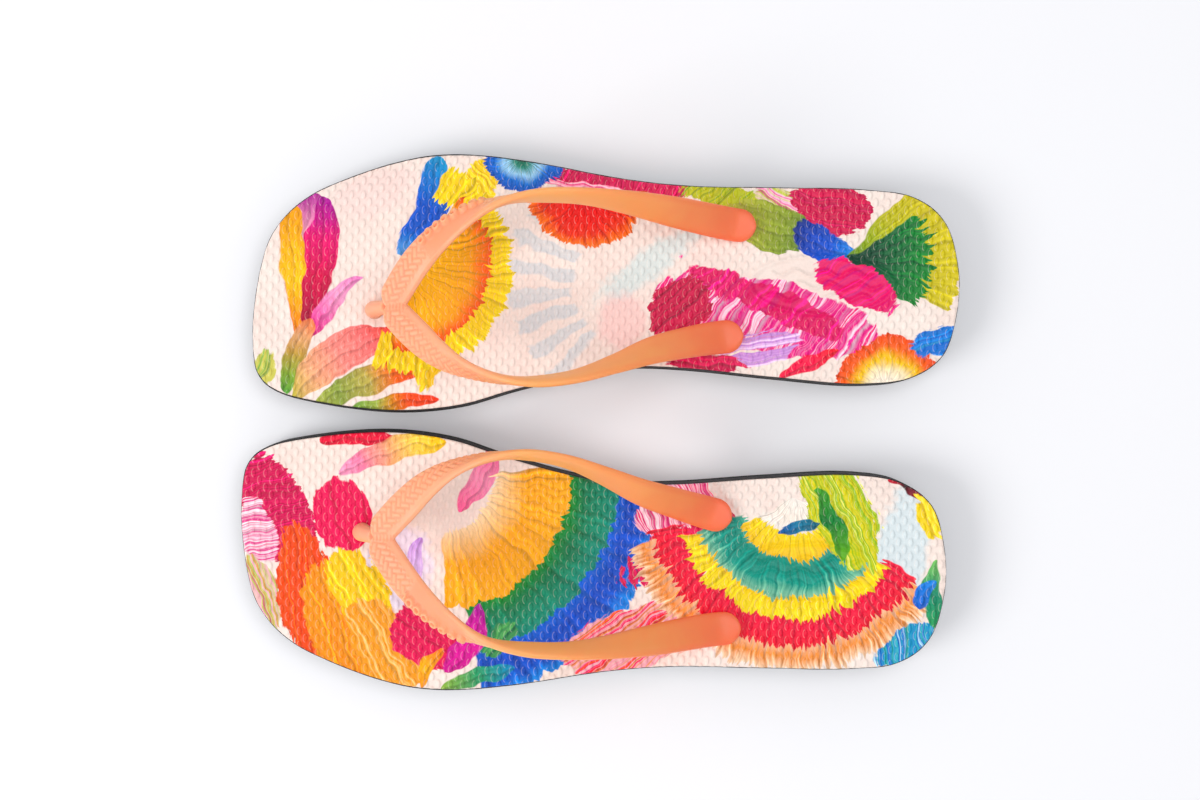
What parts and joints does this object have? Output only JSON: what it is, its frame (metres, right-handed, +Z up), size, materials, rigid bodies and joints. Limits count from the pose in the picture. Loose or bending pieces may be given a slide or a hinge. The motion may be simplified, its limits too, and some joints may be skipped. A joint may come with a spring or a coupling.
{
  "type": "pair of flip-flops",
  "caption": "Slim thong sandals with a painterly printed footbed, black foam rubber sole and a soft moulded Y strap held by plugs through the sole.",
  "frame": {"origin": "on the ground, at the middle of the pair's bounding box", "axes": "+X from the toes to the heels, +Y from the left sandal to the right sandal, +Z up"},
  "size_m": [0.262, 0.1961, 0.0608],
  "materials": {
    "printed_rubber": "cream foam rubber sheet, printed, with an embossed rice-grain pattern",
    "black_foam": "fine-celled black foam rubber with a matte die-cut edge",
    "black_rubber": "matte black rubber with a moulded tread",
    "soft_plastic": "soft translucent coral plastic, satin, embossed with a plaited pattern"
  },
  "bodies": {
    "right_sandal": {"right_printed_footbed": "printed_rubber", "right_foam_core": "black_foam", "right_outsole": "black_rubber", "right_strap": "soft_plastic"},
    "left_sandal": {"left_printed_footbed": "printed_rubber", "left_foam_core": "black_foam", "left_outsole": "black_rubber", "left_strap": "soft_plastic"}
  },
  "joints": [
    {"name": "left_lift", "type": "slide", "parent": "right_sandal", "child": "left_sandal", "axis": [0, 0, 1], "range_m": [0, 0.1]}
  ]
}
